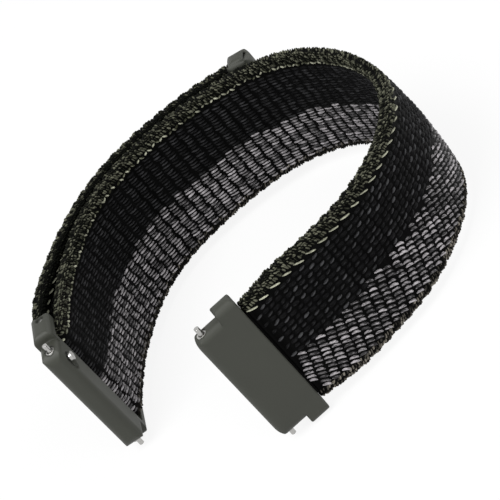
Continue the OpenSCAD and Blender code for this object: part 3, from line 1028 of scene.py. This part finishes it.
@dataclass
class HookPatch:
    """The patch under the free end: a thin base with rows of small bent hooks.

    The bend holds the steps of a hook's line: how far it leans, in millimetres, and its share of the full height.
    """

    path: StrapPath
    material: bpy.types.Material
    base: float = 0.3
    base_stations: int = 20
    pitch: float = 0.8
    scatter: float = 0.03
    end_margins: Span = (0.4, 0.6)
    side_margins: Span = (0.4, 0.3)
    shank: float = 0.24
    shank_share: float = 0.7
    turned_back: float = 0.5
    seed: int = 11
    bend: tuple[Span, ...] = ((0.0, 0.0), (0.0, 0.5), (0.12, 0.8), (0.32, 0.9), (0.46, 0.68))

    def slab(self, cloth: Cloth, start: float, end: float, half: float) -> None:
        """Adds the base, a closed strip that follows the strap.

        Args:
            cloth: Mesh that it joins.
            start: Where it starts along the strap.
            end: Where it ends.
            half: Half its width.
        """
        q = np.linspace(start, end, self.base_stations)[:, None]
        depth = -self.path.thick(q) / 2 - np.array([[0, 0, self.base, self.base]])
        points = self.path.point(q, depth, np.array([[-half, half, half, -half]]))
        cloth.add(points, bar(len(q)), np.zeros_like(points))

    def hooks(self, cloth: Cloth, start: float, end: float, half: float) -> None:
        """Adds the hooks, each bent one way or the other along the strap.

        Args:
            cloth: Mesh that they join.
            start: Where the base starts along the strap.
            end: Where it ends.
            half: Half its width.
        """
        rng = np.random.default_rng(self.seed)
        rows = np.arange(start + self.end_margins[0], end - self.end_margins[1], self.pitch)
        columns = np.arange(-half + self.side_margins[0], half - self.side_margins[1], self.pitch)
        q0, z0 = np.meshgrid(rows, columns, indexing="ij")
        q0 = (q0 + rng.normal(0, self.scatter, q0.shape)).ravel()[:, None, None]
        z0 = z0.ravel()[:, None, None]
        line = np.array(self.bend) * [1, self.path.sizes.hook_thickness - self.base]
        facing = np.where(rng.uniform(size=len(q0)) < self.turned_back, -1, 1)[:, None, None]
        ring = self.shank / 2 * np.array([[-1, -1], [1, -1], [1, 1], [-1, 1]])
        q = q0 + facing * (line[None, :, :1] + self.shank_share * ring[None, None, :, 0])
        depth = -self.path.thick(q) / 2 - self.base - line[None, :, 1:]
        points = self.path.point(q, depth, z0 + ring[None, None, :, 1])
        open_foot = bar(len(line))[:-1]
        faces = open_foot[None] + (np.arange(len(q0)) * len(line) * 4)[:, None, None]
        cloth.add(points, faces, np.zeros_like(points))

    def build(self) -> None:
        """Makes the patch and lets it ride on the free end."""
        z = self.path.sizes
        end = self.path.tab_at - z.hook_to_tab
        area = (end - z.hook, end, z.half - z.hook_margin)
        cloth = Cloth()
        self.slab(cloth, *area)
        self.hooks(cloth, *area)
        piece = cloth.build("hook_field", self.material)
        piece.data.shade_flat()
        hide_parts("hook_patch")
        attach(piece, "free_end")
        log.info("%s: %d faces", piece.name, len(piece.data.polygons))


@dataclass
class Hardware:
    """The two plastic adapters, their pins and spring bars, and the end tab, as packed."""

    nodes: dict[str, bpy.types.Object]
    finishes: dict[str, bpy.types.Material]
    plastic: tuple[str, ...] = ("fixed_frame", "slide_frame", "end_tab")
    travel: float = 1.3

    def shorten(self, node: bpy.types.Object) -> None:
        """Gives a release spring a mesh of its own.

        Args:
            node: The spring.
        """
        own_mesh(node)

    def build(self) -> None:
        """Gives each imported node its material."""
        for name, node in self.nodes.items():
            if name.startswith(("strap_", "free_", "hook_")):
                continue
            slot = "adapter_plastic" if name in self.plastic else "bar_steel"
            node.data.materials.clear()
            node.data.materials.append(self.finishes[slot])
            if name.endswith("_spring"):
                self.shorten(node)
            log.info("%s: %s", name, slot)


@dataclass(frozen=True)
class Viewpoint:
    """The camera that stands where the photograph was taken: place in millimetres, focal length in pixels."""

    place: Triple = (0.8, -298.8, 197.8)
    tilt: float = 32.09
    roll: float = 48.14
    focal: float = 2335.0
    frame: float = 500.0
    sensor: float = 36.0
    clip: Span = (0.01, 10)

    def build(self) -> None:
        """Makes the camera and makes it the scene's own."""
        st, ct = math.sin(math.radians(self.tilt)), math.cos(math.radians(self.tilt))
        sr, cr = math.sin(math.radians(self.roll)), math.cos(math.radians(self.roll))
        right = Vector((sr, -st * cr, -ct * cr))
        down = Vector((-cr, -st * sr, -ct * sr))
        ahead = Vector((0, ct, -st))
        data = bpy.data.cameras.new("camera")
        data.sensor_width = self.sensor
        data.lens = self.focal / self.frame * self.sensor
        data.clip_start, data.clip_end = self.clip
        camera = bpy.data.objects.new("camera", data)
        turned = Matrix((right, -down, -ahead)).transposed()
        camera.matrix_world = Matrix.Translation(Vector(self.place) * MM) @ turned.to_4x4()
        bpy.context.scene.collection.objects.link(camera)
        bpy.context.scene.camera = camera


@dataclass(frozen=True)
class Lamp:
    """One soft square lamp, with its sizes in metres and its power in watts."""

    name: str
    place: Triple
    size: float
    power: float
    aim: Triple = (0, 0, 0.01)

    def build(self) -> None:
        """Makes the lamp."""
        data = bpy.data.lights.new(self.name, "AREA")
        data.shape = "SQUARE"
        data.size = self.size
        data.energy = self.power
        lamp = bpy.data.objects.new(self.name, data)
        lamp.location = self.place
        lamp.rotation_euler = (Vector(self.aim) - Vector(self.place)).to_track_quat("-Z", "Y").to_euler()
        bpy.context.scene.collection.objects.link(lamp)


@dataclass
class Studio:
    """Pale floor, soft lamps and a white surrounding, in metres."""

    lamps: tuple[Lamp, ...] = (
        Lamp("key_lamp", (-0.35, -0.25, 0.75), 0.5, 7.0),
        Lamp("front_lamp", (0.35, -0.8, 0.45), 0.6, 4.0),
        Lamp("right_lamp", (0.8, 0.1, 0.4), 0.5, 3.0),
    )
    surround: float = 0.3
    floor_colour: Triple = (0.86, 0.86, 0.86)
    floor_roughness: float = 0.9
    floor_specular: float = 0.1
    floor_glow: float = 0.88
    floor_half: float = 6.0
    floor_drop: float = 0.0002

    def world(self) -> None:
        """A white surround to the eye and a milder one for light."""
        world = bpy.data.worlds.new("studio")
        bpy.context.scene.world = world
        world.use_nodes = True
        graph = Graph(world.node_tree)
        strength = graph.remap(graph.white_rays(), self.surround, 1.0)
        graph.feed(graph.nodes["Background"], {"Color": (1, 1, 1, 1), "Strength": strength})

    def floor(self) -> None:
        """A pale floor that shows white to the camera and keeps the shadow."""
        h = self.floor_half
        mesh = bpy.data.meshes.new("floor")
        mesh.from_pydata([(-h, -h, 0), (h, -h, 0), (h, h, 0), (-h, h, 0)], [], [(0, 1, 2, 3)])
        floor = bpy.data.objects.new("floor", mesh)
        floor.location.z = -self.floor_drop
        bpy.context.scene.collection.objects.link(floor)
        mat, shader, graph = start_material("floor", self.floor_colour)
        graph.feed(shader, {
            "Base Color": (*self.floor_colour, 1),
            "Roughness": self.floor_roughness,
            "Specular IOR Level": self.floor_specular,
        })
        glow = graph.feed(graph.nodes.new("ShaderNodeEmission"), {"Color": (1, 1, 1, 1)})[0]
        share = graph.maths("MULTIPLY", graph.white_rays(), self.floor_glow)
        mixed = graph.feed(graph.nodes.new("ShaderNodeMixShader"), {0: share, 1: shader.outputs[0], 2: glow})[0]
        graph.feed(graph.nodes["Material Output"], {"Surface": mixed})
        mesh.materials.append(mat)

    def build(self) -> None:
        """Makes the studio."""
        bpy.context.scene.view_settings.view_transform = "Standard"
        self.world()
        self.floor()
        for lamp in self.lamps:
            lamp.build()


FINISHES = (
    # core_yarn is near black, darker than the black yarn: partly the strap's own dark core, partly painted shade in
    # the gaps between floats.
    YarnFinish("core_yarn", (0.0008, 0.0008, 0.0008), (0.003, 0.003, 0.003), specular=0.02, bump=0.3),
    YarnFinish("black_yarn", (0.0010, 0.0010, 0.0012), (0.055, 0.055, 0.058), specular=0.05),
    YarnFinish("grey_yarn", (0.008, 0.0075, 0.008), (0.37, 0.35, 0.362), roughness=0.42, specular=0.2, streak=1.4),
    YarnFinish("green_edge_yarn", (0.0015, 0.0018, 0.0008), (0.118, 0.120, 0.086), roughness=0.7, specular=0.05),
    YarnFinish("far_edge_yarn", (0.004, 0.0036, 0.003), (0.18, 0.165, 0.138), roughness=0.7, specular=0.05),
    YarnFinish("accent_yarn", (0.02, 0.021, 0.012), (0.40, 0.405, 0.31), roughness=0.6, specular=0.05),
    PlasticFinish("hook_plastic", (0.012, 0.012, 0.011), roughness=0.4),
    PlasticFinish("adapter_plastic", (0.031, 0.0327, 0.0255), rounding=0.4),
    SteelFinish("bar_steel", (0.46, 0.455, 0.44), roughness=0.22),
)


def main() -> None:
    """Builds the camera, the strap, the hook patch, the hardware and the studio."""
    logging.basicConfig(level=logging.INFO, format="%(name)s %(message)s")
    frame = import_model()
    Viewpoint().build()
    finishes = {finish.name: finish.build() for finish in FINISHES}
    low, high = (np.array(corner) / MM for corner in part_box("slide_rod"))
    path = StrapPath(StrapSizes(), tuple((low + high) / 2))
    Strap(path, finishes).build()
    HookPatch(path, finishes["hook_plastic"]).build()
    Hardware(frame["nodes"], finishes).build()
    Studio().build()


if __name__ == "__main__":
    main()
